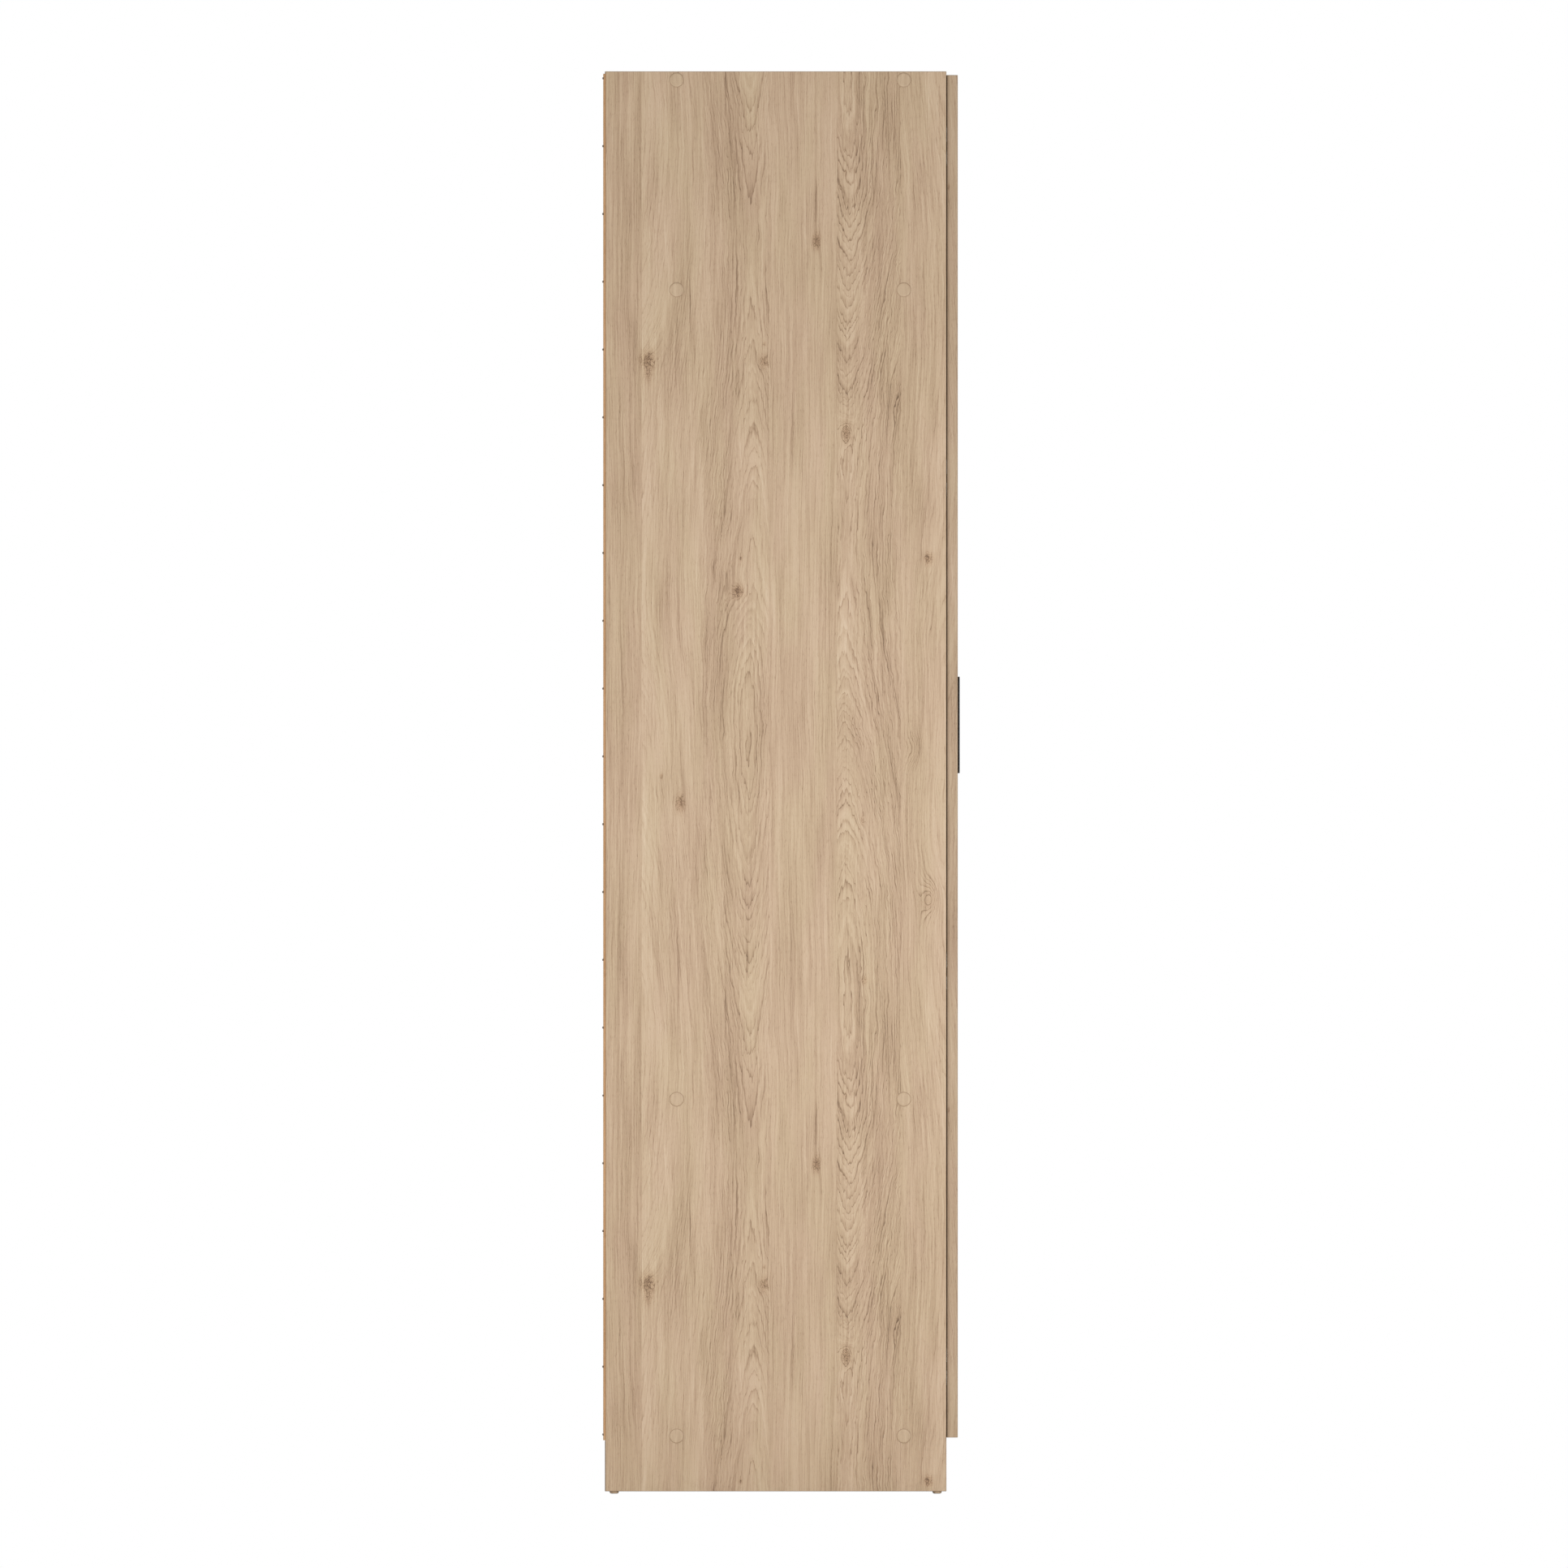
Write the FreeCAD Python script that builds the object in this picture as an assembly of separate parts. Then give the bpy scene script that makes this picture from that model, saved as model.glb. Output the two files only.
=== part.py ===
import FreeCAD, Part
import math
import os

# Pantry cabinet: a board carcass on nail glides, with two full-height overlay doors on concealed
# hinges.  Millimetres.  +Z is up, the doors face -Y, X = 0 is the middle of the width, and the
# origin is on the floor under the middle of the bounding box.

# Driving dimensions
CABINET_WIDTH = 770.0
SIDE_HEIGHT = 2000.0
SIDE_DEPTH = 480.0
BOARD = 15.0
EDGE_ROUND = 0.8
GLIDE_HEIGHT = 3.2

# Heights of board centres, measured from the underside or from the top of the side panels
TOP_PANEL_DROP = 12.1
UPPER_SHELF_DROP = 307.6
LOWER_SHELF_DROP = 1447.7
BOTTOM_PANEL_RISE = 77.9
FIXED_SHELF_SETBACK = 2.0

# Adjustable shelves on pins
SHELF_SETBACK = 20.0
SHELF_SIDE_CLEARANCE = 1.0
SHELF_REAR_CLEARANCE = 3.0
PIN_DIAMETER = 5.0
PIN_IN_PANEL = 8.0
PIN_REACH = 8.0
PIN_HOLE_DEPTH = 8.5
PIN_CHAMFER = 0.5
PIN_COLLAR_DIAMETER = 8.0
PIN_COLLAR_THICKNESS = 1.2
PIN_HOLE_PITCH = 32.0
PIN_HOLES_PER_SHELF = 5

# Plinth
PLINTH_SETBACK = 32.0
PLINTH_FLOOR_GAP = 5.2
PLINTH_BLOCK = 18.0
PLINTH_BLOCK_CUT = 8.1
PLINTH_BLOCK_LENGTH = 44.0
PLINTH_BLOCK_X = 250.0
PLINTH_SCREW_BITE = 11.0
PLINTH_SCREW_INSET = 5.4

# Back: two hardboard halves joined by tape, nailed on
BACK_THICKNESS = 2.5
BACK_TOP_DROP = 3.3
BACK_BOTTOM_RISE = 72.0
BACK_SIDE_INSET = 1.0
BACK_SPLIT_GAP = 1.0
TAPE_WIDTH = 46.0
TAPE_THICKNESS = 0.4
NAILS_PER_SIDE = 21
NAIL_PITCH = 95.5
NAIL_TOP_DROP = 9.8
NAILED_BOARD_ROWS = (0, 15, 20)
NAILS_PER_HALF_BOARD = 4
BOARD_NAIL_START = 60.0
BOARD_NAIL_PITCH = 88.0
NAIL_HEAD_DIAMETER = 3.4
NAIL_HEAD_HEIGHT = 1.2
NAIL_CROWN_RADIUS = 0.68
NAIL_SHOULDER_RADIUS_SHARE = 0.85
NAIL_SHOULDER_HEIGHT_SHARE = 0.7
NAIL_DIAMETER = 1.6
NAIL_LENGTH = 16.0
POINT_RADIUS = 0.2

# Carcass fasteners: confirmat screws under cover caps, and dowels between them
FASTENER_FRONT = 60.0
FASTENER_REAR = 380.0
CONFIRMAT_HEAD_DIAMETER = 10.0
CONFIRMAT_HEAD_RIM = 1.0
CONFIRMAT_HEAD_HEIGHT = 4.0
CONFIRMAT_NECK_DIAMETER = 7.0
CONFIRMAT_DIAMETER = 5.4
CONFIRMAT_LENGTH = 50.0
CONFIRMAT_TIP_RADIUS = 0.6
SOCKET_DIAMETER = 4.0
SOCKET_DEPTH = 3.0
CAP_DIAMETER = 20.6
CAP_HEIGHT = 1.2
CAP_CROWN_INSET = 2.6
CAP_SHOULDER_INSET = 1.1
CAP_SHOULDER_HEIGHT = 0.9
CAP_RIM_INSET = 0.2
CAP_RIM_HEIGHT = 0.42
CAP_STEM_LENGTH = 2.4
DOWEL_DIAMETER = 8.0
DOWEL_LENGTH = 30.0
DOWEL_IN_SIDE = 9.0
DOWEL_POSITIONS = (150.0, 290.0)

# Nail glides under the side panels
GLIDE_DIAMETER = 12.0
GLIDE_FLAT_DIAMETER = 5.0
GLIDE_INSET = 12.6
GLIDE_RIM = 1.0
GLIDE_DOME_STEPS = 4
GLIDE_NAIL_DIAMETER = 2.2
GLIDE_NAIL_LENGTH = 14.0

# Doors
DOOR_THICKNESS = 15.0
DOOR_GAP = 1.0
DOOR_REVEAL = 1.0
DOOR_MIDDLE_GAP = 3.0
DOOR_TOP_DROP = 5.1
DOOR_BOTTOM_RISE = 75.8
BUMPER_DIAMETER = 8.0
BUMPER_THICKNESS = 0.6
BUMPER_X = 60.0
BUMPER_LIFT = 3.0

# Flush pulls
PULL_LENGTH = 136.0
PULL_WIDTH = 36.0
PULL_PROUD = 3.2
PULL_RISE = 1079.5
PULL_EDGE_DISTANCE = 30.0
PULL_EDGE_ROUND = 0.6
PULL_POCKET_LENGTH = 114.0
PULL_POCKET_WIDTH = 26.0
PULL_POCKET_DEPTH = 10.4
PULL_POCKET_CORNER = 4.0
PULL_WALL = 1.3
PULL_LIP = 6.0
PULL_LIP_THICKNESS = 1.6
PULL_BOSS_DIAMETER = 7.0
PULL_BOSS_LENGTH = 8.0
PULL_SCREW_SPACING = 128.0
PULL_SCREW_DIAMETER = 4.0
PULL_SCREW_HEAD_DIAMETER = 8.0
PULL_SCREW_HEAD_HEIGHT = 2.2
PULL_SCREW_BITE = 1.2

# Wall brackets for anti-tip screws
BRACKET_WIDTH = 30.0
BRACKET_LEG = 28.0
BRACKET_THICKNESS = 2.0
BRACKET_X = 300.0
BRACKET_WALL_HOLE = 5.5
BRACKET_HOLE_DISTANCE = 16.8
BRACKET_SCREW_SHIFT = 8.1

# Hinges.  A place (u, v) is the distance inwards from the side panel's outer face and forwards
# from its front edge.  A short front link and a long rear link join the arm to the cup.
HINGE_HEIGHTS = (179.0, 735.0, 1430.0, 1898.0)
FRONT_ARM_PIVOT = (28.1, 1.6)
FRONT_LINK_BEND = (18.7, 9.3)
FRONT_CUP_PIVOT = (11.1, 5.6)
REAR_ARM_PIVOT = (42.1, -11.5)
REAR_LINK_BEND = (26.2, 3.9)
REAR_CUP_PIVOT = (10.8, 3.4)
LINK_HALF_WIDTH = 2.1
LINK_THICKNESS = 5.2
LINK_MIDDLE_CLEARANCE = 0.4
REAR_LINK_CUP_BOSS = 3.0
HINGE_PIN_DIAMETER = 2.4
HINGE_PIN_CLEARANCE = 0.05
HINGE_PIN_SEAT = 3.0
OPEN_PIVOT_CLEARANCE = 0.65
HINGE_CUP_DIAMETER = 35.0
HINGE_CUP_DEPTH = 11.5
HINGE_CUP_FLOOR = 0.8
HINGE_CUP_EDGE_DISTANCE = 3.0
LINK_WELL = (5.9, 37.1)
LINK_WELL_HALF_WIDTH = 6.3
ARM_WELL = (20.0, 36.2)
ARM_WELL_HALF_WIDTH = 8.3
CUP_FLANGE_LENGTH = 56.0
CUP_FLANGE_THICKNESS = 1.0
CUP_FLANGE_START = 16.6
CUP_FLANGE_END = 34.5
CUP_FLANGE_CORNER = 5.0
CUP_SCREW_U = 30.0
CUP_SCREW_SPACING = 45.0
CUP_SCREW_LENGTH = 11.0
CUP_SCREW_HEAD_HEIGHT = 1.4
ARM_CHEEK_INNER = 6.0
ARM_CHEEK_THICKNESS = 1.5
ARM_BOSS_RADIUS = 2.9
ARM_REAR = -56.0
ARM_KNEE_V = -27.0
ARM_WEB_U = 25.5
ARM_WEB_THICKNESS = 1.5
ARM_WEB_STOP = 3.5
ARM_SCREW_VS = (-48.0, -32.0)
ARM_SCREW_DIAMETER = 4.0
ARM_SCREW_HEAD_DIAMETER = 6.4
ARM_SCREW_LENGTH = 9.0
PLATE_THICKNESS = 4.0
PLATE_FRONT = -18.0
PLATE_CORNER = 4.0
PLATE_SCREW_V = -40.0
PLATE_SCREW_SPACING = 32.0
PLATE_WING_LENGTH = 46.0
PLATE_WING_WIDTH = 12.0

# Small screws
SMALL_SCREW_DIAMETER = 3.5
SMALL_SCREW_HEAD_DIAMETER = 7.0
SMALL_SCREW_HEAD_HEIGHT = 1.8
SMALL_SCREW_LENGTH = 13.0
SCREW_SLOT_WIDTH = 1.0
SCREW_SLOT_LENGTH_SHARE = 1.1
PAN_HEAD_PROFILE = ((1.0, 0.62), (0.6, 0.92), (0.15, 1.0))

# Worked out from the dimensions above
HALF_WIDTH = CABINET_WIDTH / 2
INNER_HALF = HALF_WIDTH - BOARD
DEPTH = PULL_PROUD + DOOR_THICKNESS + DOOR_GAP + SIDE_DEPTH + BACK_THICKNESS + NAIL_HEAD_HEIGHT
CARCASS_FRONT = -DEPTH / 2 + PULL_PROUD + DOOR_THICKNESS + DOOR_GAP
CARCASS_REAR = CARCASS_FRONT + SIDE_DEPTH
BACK_REAR = CARCASS_REAR + BACK_THICKNESS
DOOR_REAR = CARCASS_FRONT - DOOR_GAP
DOOR_FRONT = DOOR_REAR - DOOR_THICKNESS
SIDE_BOTTOM = GLIDE_HEIGHT
SIDE_TOP = GLIDE_HEIGHT + SIDE_HEIGHT
TOP_PANEL_Z = SIDE_TOP - TOP_PANEL_DROP
UPPER_SHELF_Z = SIDE_TOP - UPPER_SHELF_DROP
LOWER_SHELF_Z = SIDE_TOP - LOWER_SHELF_DROP
BOTTOM_PANEL_Z = SIDE_BOTTOM + BOTTOM_PANEL_RISE
FIXED_BOARD_HEIGHTS = (TOP_PANEL_Z, UPPER_SHELF_Z, LOWER_SHELF_Z, BOTTOM_PANEL_Z)
BACK_TOP = SIDE_TOP - BACK_TOP_DROP
BACK_BOTTOM = SIDE_BOTTOM + BACK_BOTTOM_RISE
DOOR_TOP = SIDE_TOP - DOOR_TOP_DROP
DOOR_BOTTOM = SIDE_BOTTOM + DOOR_BOTTOM_RISE
PULL_Z = SIDE_BOTTOM + PULL_RISE
PULL_X = DOOR_MIDDLE_GAP / 2 + PULL_EDGE_DISTANCE
MIDDLE_BAY = UPPER_SHELF_Z - LOWER_SHELF_Z
LOWER_BAY = LOWER_SHELF_Z - BOTTOM_PANEL_Z
SHELF_HEIGHTS = {
    "adjustable_shelf_upper": LOWER_SHELF_Z + MIDDLE_BAY * 2 / 3,
    "adjustable_shelf_middle": LOWER_SHELF_Z + MIDDLE_BAY / 3,
    "adjustable_shelf_lower": BOTTOM_PANEL_Z + LOWER_BAY / 2,
}

UP = FreeCAD.Vector(0, 0, 1)
RIGHT = FreeCAD.Vector(1, 0, 0)
LEFT = FreeCAD.Vector(-1, 0, 0)
FORWARD = FreeCAD.Vector(0, -1, 0)
REARWARD = FreeCAD.Vector(0, 1, 0)
ORIGIN = FreeCAD.Vector(0, 0, 0)


def block(low, high):
    size = [b - a for a, b in zip(low, high)]
    return Part.makeBox(*size, FreeCAD.Vector(*low))


def rod(start, direction, diameter, length):
    return Part.makeCylinder(diameter / 2, length, FreeCAD.Vector(*start), direction)


def rounded(shape, radius=EDGE_ROUND):
    return shape.makeFillet(radius, shape.Edges)


def mirrored(shapes):
    return [shape.mirror(ORIGIN, RIGHT) for shape in shapes]


def edges_along(shape, direction):
    return [e for e in shape.Edges if abs(e.tangentAt(e.FirstParameter).dot(direction)) > 0.99]


def board_across(z, front, rear, half_width=INNER_HALF):
    return rounded(block((-half_width, front, z - BOARD / 2), (half_width, rear, z + BOARD / 2)))


# Carcass fasteners

def turned(start, direction, profile):
    """A solid turned about the axis through start; profile is (distance along, radius) pairs."""
    points = [FreeCAD.Vector(profile[0][0], 0, 0)]
    points += [FreeCAD.Vector(along, radius, 0) for along, radius in profile]
    points += [FreeCAD.Vector(profile[-1][0], 0, 0), points[0]]
    clean = [points[0]]
    for point in points[1:]:
        if (point - clean[-1]).Length > 1e-6:
            clean.append(point)
    solid = Part.Face(Part.makePolygon(clean)).revolve(ORIGIN, RIGHT, 360)
    solid = Part.Solid(solid.Shells[0]) if not isinstance(solid, Part.Solid) else solid
    if solid.Volume < 0:
        solid.reverse()
    solid.Placement = FreeCAD.Placement(FreeCAD.Vector(*start), FreeCAD.Rotation(RIGHT, direction))
    return solid


def fastener_points():
    return [(CARCASS_FRONT + offset, z) for z in FIXED_BOARD_HEIGHTS
            for offset in (FASTENER_FRONT, FASTENER_REAR)]


def confirmat_envelope(start, direction):
    head = CONFIRMAT_HEAD_DIAMETER / 2
    neck = CONFIRMAT_NECK_DIAMETER / 2
    body = CONFIRMAT_DIAMETER / 2
    return turned(start, direction, [
        (0, head), (CONFIRMAT_HEAD_RIM, head), (CONFIRMAT_HEAD_HEIGHT, neck), (BOARD, neck),
        (BOARD, body), (CONFIRMAT_LENGTH - body, body), (CONFIRMAT_LENGTH, CONFIRMAT_TIP_RADIUS)])


def confirmat(start, direction):
    socket = rod(start, direction, SOCKET_DIAMETER, SOCKET_DEPTH)
    return confirmat_envelope(start, direction).cut(socket)


def left_fasteners(maker):
    """Caps, screws or their holes at every fixed board's end on the left side panel."""
    return [maker((-HALF_WIDTH, y, z), RIGHT) for y, z in fastener_points()]


def cover_cap(start, inward):
    """A thin domed cap with a stem that pushes into the screw's socket."""
    outer = CAP_DIAMETER / 2
    stem = SOCKET_DIAMETER / 2
    return turned(start, inward, [
        (-CAP_HEIGHT, outer - CAP_CROWN_INSET), (-CAP_SHOULDER_HEIGHT, outer - CAP_SHOULDER_INSET),
        (-CAP_RIM_HEIGHT, outer - CAP_RIM_INSET), (0, outer), (0, stem), (CAP_STEM_LENGTH, stem)])


def dowels():
    solids = []
    for z in FIXED_BOARD_HEIGHTS:
        for offset in DOWEL_POSITIONS:
            for side in (-1, 1):
                middle = side * (INNER_HALF - DOWEL_LENGTH / 2 + DOWEL_IN_SIDE)
                start = (middle - DOWEL_LENGTH / 2, CARCASS_FRONT + offset, z)
                solids.append(rod(start, RIGHT, DOWEL_DIAMETER, DOWEL_LENGTH))
    return solids


# Back, nails and glides

def back_half():
    """The left half of the back; the right one is its mirror image."""
    return block((-HALF_WIDTH + BACK_SIDE_INSET, CARCASS_REAR, BACK_BOTTOM),
                 (-BACK_SPLIT_GAP / 2, BACK_REAR, BACK_TOP))


def back_tape():
    return block((-TAPE_WIDTH / 2, BACK_REAR, BACK_BOTTOM),
                 (TAPE_WIDTH / 2, BACK_REAR + TAPE_THICKNESS, BACK_TOP))


def nail(x, z):
    head = NAIL_HEAD_DIAMETER / 2
    shank = NAIL_DIAMETER / 2
    shoulder = head * NAIL_SHOULDER_RADIUS_SHARE
    shoulder_height = NAIL_HEAD_HEIGHT * NAIL_SHOULDER_HEIGHT_SHARE
    return turned((x, BACK_REAR, z), FORWARD, [
        (-NAIL_HEAD_HEIGHT, NAIL_CROWN_RADIUS), (-shoulder_height, shoulder), (0, head),
        (0, shank), (NAIL_LENGTH - NAIL_DIAMETER, shank), (NAIL_LENGTH, POINT_RADIUS)])


def nails():
    top_z = SIDE_TOP - NAIL_TOP_DROP
    column = [top_z - i * NAIL_PITCH for i in range(NAILS_PER_SIDE)]
    side_x = HALF_WIDTH - BOARD / 2
    points = [(side * side_x, z) for z in column for side in (-1, 1)]
    for row in NAILED_BOARD_ROWS:
        for i in range(NAILS_PER_HALF_BOARD):
            offset = BOARD_NAIL_START + i * BOARD_NAIL_PITCH
            points += [(side * offset, column[row]) for side in (-1, 1)]
    return [nail(x, z) for x, z in points]


def glide(x, y):
    rim = GLIDE_DIAMETER / 2
    flat = GLIDE_FLAT_DIAMETER / 2
    shank = GLIDE_NAIL_DIAMETER / 2
    fall = GLIDE_HEIGHT - GLIDE_RIM
    angles = [math.pi / 2 * (1 - i / GLIDE_DOME_STEPS) for i in range(GLIDE_DOME_STEPS + 1)]
    dome = [(-GLIDE_RIM - fall * math.sin(t), flat + (rim - flat) * math.cos(t)) for t in angles]
    return turned((x, y, SIDE_BOTTOM), UP, dome + [
        (0, rim), (0, shank), (GLIDE_NAIL_LENGTH - GLIDE_NAIL_DIAMETER, shank),
        (GLIDE_NAIL_LENGTH, POINT_RADIUS)])


def left_glides():
    x = -HALF_WIDTH + BOARD / 2
    return [glide(x, CARCASS_FRONT + GLIDE_INSET), glide(x, CARCASS_REAR - GLIDE_INSET)]


# Shelves

def shelf_pin_heights(shelf_z):
    """Heights of one shelf's row of pin holes; its pins are in the middle hole."""
    pin_z = shelf_z - BOARD / 2 - PIN_DIAMETER / 2
    half = PIN_HOLES_PER_SHELF // 2
    return [pin_z + i * PIN_HOLE_PITCH for i in range(-half, half + 1)]


def left_pin_holes():
    return [rod((-INNER_HALF, CARCASS_FRONT + offset, z), LEFT, PIN_DIAMETER, PIN_HOLE_DEPTH)
            for shelf_z in SHELF_HEIGHTS.values() for z in shelf_pin_heights(shelf_z)
            for offset in (FASTENER_FRONT, FASTENER_REAR)]


def left_shelf_pins():
    pins = []
    radius = PIN_DIAMETER / 2
    collar = PIN_COLLAR_DIAMETER / 2
    for shelf_z in SHELF_HEIGHTS.values():
        for offset in (FASTENER_FRONT, FASTENER_REAR):
            z = shelf_pin_heights(shelf_z)[PIN_HOLES_PER_SHELF // 2]
            pin = turned((-INNER_HALF, CARCASS_FRONT + offset, z), RIGHT, [
                (-PIN_IN_PANEL, radius - PIN_CHAMFER), (-PIN_IN_PANEL + PIN_CHAMFER, radius),
                (0, radius), (0, collar),
                (PIN_COLLAR_THICKNESS, collar), (PIN_COLLAR_THICKNESS, radius), (PIN_REACH, radius)])
            above = block((-HALF_WIDTH, CARCASS_FRONT, z + radius), (0, CARCASS_REAR, z + collar + 1))
            pins.append(pin.cut(above))
    return pins


def adjustable_shelf(z):
    half_width = INNER_HALF - SHELF_SIDE_CLEARANCE
    return board_across(z, CARCASS_FRONT + SHELF_SETBACK, CARCASS_REAR - SHELF_REAR_CLEARANCE, half_width)


# Screws, plinth and wall brackets

def pan_screw(start, direction, length, diameter=SMALL_SCREW_DIAMETER,
              head_diameter=SMALL_SCREW_HEAD_DIAMETER, head_height=SMALL_SCREW_HEAD_HEIGHT):
    """A pan-head screw; start is the middle of the head's flat underside."""
    head = head_diameter / 2
    body = diameter / 2
    crown = [(-head_height * up, head * out) for up, out in PAN_HEAD_PROFILE]
    screw = turned(start, direction, crown + [
        (0, head), (0, body), (length - body, body), (length, POINT_RADIUS)])
    slot_length = head * SCREW_SLOT_LENGTH_SHARE
    slot = Part.makeBox(head_height, slot_length, SCREW_SLOT_WIDTH,
                        FreeCAD.Vector(-head_height * 1.5, -slot_length / 2, -SCREW_SLOT_WIDTH / 2))
    slots = [slot, slot.copy()]
    slots[1].rotate(ORIGIN, RIGHT, 90)
    for cutter in slots:
        cutter.Placement = FreeCAD.Placement(
            FreeCAD.Vector(*start), FreeCAD.Rotation(RIGHT, direction)).multiply(cutter.Placement)
    return screw.cut(slots)


def plinth_board():
    front = CARCASS_FRONT + PLINTH_SETBACK
    return rounded(block((-INNER_HALF, front, PLINTH_FLOOR_GAP),
                         (INNER_HALF, front + BOARD, BOTTOM_PANEL_Z - BOARD / 2)))


def plinth_block():
    """The left corner block behind the plinth and under the bottom panel, with its long edge cut off."""
    front = CARCASS_FRONT + PLINTH_SETBACK + BOARD
    top = BOTTOM_PANEL_Z - BOARD / 2
    low, high = front + PLINTH_BLOCK, top - PLINTH_BLOCK
    cut = PLINTH_BLOCK_CUT
    outline = [(front, top), (low, top), (low, top - PLINTH_BLOCK + cut), (low - cut, high), (front, high)]
    points = [FreeCAD.Vector(-PLINTH_BLOCK_X - PLINTH_BLOCK_LENGTH / 2, y, z) for y, z in outline]
    face = Part.Face(Part.makePolygon(points + points[:1]))
    return face.extrude(RIGHT * PLINTH_BLOCK_LENGTH)


def plinth_screws():
    front = CARCASS_FRONT + PLINTH_SETBACK + BOARD
    top = BOTTOM_PANEL_Z - BOARD / 2
    shift = PLINTH_BLOCK_LENGTH / 4
    length = PLINTH_BLOCK + PLINTH_SCREW_BITE
    inset = PLINTH_SCREW_INSET
    return [pan_screw((-PLINTH_BLOCK_X - shift, front + inset, top - PLINTH_BLOCK), UP, length),
            pan_screw((-PLINTH_BLOCK_X + shift, front + PLINTH_BLOCK, top - inset), FORWARD, length)]


def wall_bracket():
    """The left angle bracket under the top panel, with its hole through to the wall."""
    under = TOP_PANEL_Z - BOARD / 2
    half = BRACKET_WIDTH / 2
    leg = block((-BRACKET_X - half, CARCASS_REAR - BRACKET_LEG, under - BRACKET_THICKNESS),
                (-BRACKET_X + half, CARCASS_REAR, under))
    wall_leg = block((-BRACKET_X - half, CARCASS_REAR - BRACKET_THICKNESS, under - BRACKET_LEG),
                     (-BRACKET_X + half, CARCASS_REAR, under - BRACKET_THICKNESS))
    bracket = leg.fuse(wall_leg).removeSplitter()
    return bracket.cut([wall_hole()] + wall_bracket_screws())


def wall_hole():
    z = TOP_PANEL_Z - BOARD / 2 - BRACKET_HOLE_DISTANCE
    return rod((-BRACKET_X, CARCASS_REAR - BRACKET_LEG / 2, z), REARWARD, BRACKET_WALL_HOLE, BRACKET_LEG)


def wall_bracket_screws():
    z = TOP_PANEL_Z - BOARD / 2 - BRACKET_THICKNESS
    y = CARCASS_REAR - BRACKET_HOLE_DISTANCE
    return [pan_screw((-BRACKET_X + side * BRACKET_SCREW_SHIFT, y, z), UP, SMALL_SCREW_LENGTH)
            for side in (-1, 1)]


def left_bumpers():
    return [rod((-BUMPER_X, CARCASS_FRONT, z), FORWARD, BUMPER_DIAMETER, BUMPER_THICKNESS)
            for z in (TOP_PANEL_Z, BOTTOM_PANEL_Z + BUMPER_LIFT)]


# Doors and flush pulls

def pull_box(width, length, front, rear, shift=0.0):
    """A box centred on the left pull, between two distances behind the door's front face."""
    return block((-PULL_X - width / 2 + shift, DOOR_FRONT + front, PULL_Z - length / 2),
                 (-PULL_X + width / 2 + shift, DOOR_FRONT + rear, PULL_Z + length / 2))


def pull_pocket_outside():
    pocket = pull_box(PULL_POCKET_WIDTH, PULL_POCKET_LENGTH, 0, PULL_POCKET_DEPTH)
    return pocket.makeFillet(PULL_POCKET_CORNER, edges_along(pocket, FORWARD))


def pull_bosses():
    return [rod((-PULL_X, DOOR_FRONT, PULL_Z + side * PULL_SCREW_SPACING / 2), REARWARD,
                PULL_BOSS_DIAMETER, PULL_BOSS_LENGTH) for side in (-1, 1)]


def pull_screws():
    return [pan_screw((-PULL_X, DOOR_REAR, PULL_Z + side * PULL_SCREW_SPACING / 2), FORWARD,
                      DOOR_THICKNESS + PULL_SCREW_BITE, PULL_SCREW_DIAMETER,
                      PULL_SCREW_HEAD_DIAMETER, PULL_SCREW_HEAD_HEIGHT) for side in (-1, 1)]


def left_pull():
    """A flat frame with a pocket behind it; the frame's inner edge hangs over the pocket as a finger lip."""
    frame = rounded(pull_box(PULL_WIDTH, PULL_LENGTH, -PULL_PROUD, 0), PULL_EDGE_ROUND)
    inside_width = PULL_POCKET_WIDTH - 2 * PULL_WALL
    inside_length = PULL_POCKET_LENGTH - 2 * PULL_WALL
    inside = pull_box(inside_width, inside_length, -PULL_PROUD + PULL_LIP_THICKNESS,
                      PULL_POCKET_DEPTH - PULL_WALL)
    mouth = pull_box(inside_width - PULL_LIP, inside_length, -PULL_PROUD - 1, PULL_POCKET_DEPTH / 2,
                     -PULL_LIP / 2)
    inside = inside.makeFillet(PULL_WALL, edges_along(inside, UP))
    pull = frame.fuse([pull_pocket_outside()] + pull_bosses()).removeSplitter()
    return pull.cut([inside, mouth] + pull_screws())


def left_door(cutters):
    door = rounded(block((-HALF_WIDTH + DOOR_REVEAL, DOOR_FRONT, DOOR_BOTTOM),
                         (-DOOR_MIDDLE_GAP / 2, DOOR_REAR, DOOR_TOP)))
    bores = [cup_bore(z) for z in HINGE_HEIGHTS]
    return door.cut(bores + [pull_pocket_outside()] + pull_bosses() + cutters)


# Hinges, for the left door at one height

def place(point, z):
    u, v = point
    return FreeCAD.Vector(-HALF_WIDTH + u, CARCASS_FRONT - v, z)


def hinge_block(u_range, v_range, z_range):
    corner = place((u_range[0], v_range[1]), z_range[0])
    return Part.makeBox(u_range[1] - u_range[0], v_range[1] - v_range[0], z_range[1] - z_range[0], corner)


def strap(points, radius, z_low, z_high):
    """A flat strap of even width through points, with round ends and corners."""
    height = z_high - z_low
    pieces = [Part.makeCylinder(radius, height, place(point, z_low)) for point in points]
    for start, end in zip(points, points[1:]):
        a, b = place(start, z_low), place(end, z_low)
        sideways = UP.cross(b - a).normalize() * radius
        outline = [a + sideways, a - sideways, b - sideways, b + sideways, a + sideways]
        pieces.append(Part.Face(Part.makePolygon(outline)).extrude(UP * height))
    return pieces[0].fuse(pieces[1:]).removeSplitter()


def pivot_pin(point, z_low, z_high, diameter=HINGE_PIN_DIAMETER):
    return Part.makeCylinder(diameter / 2, z_high - z_low, place(point, z_low))


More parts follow.
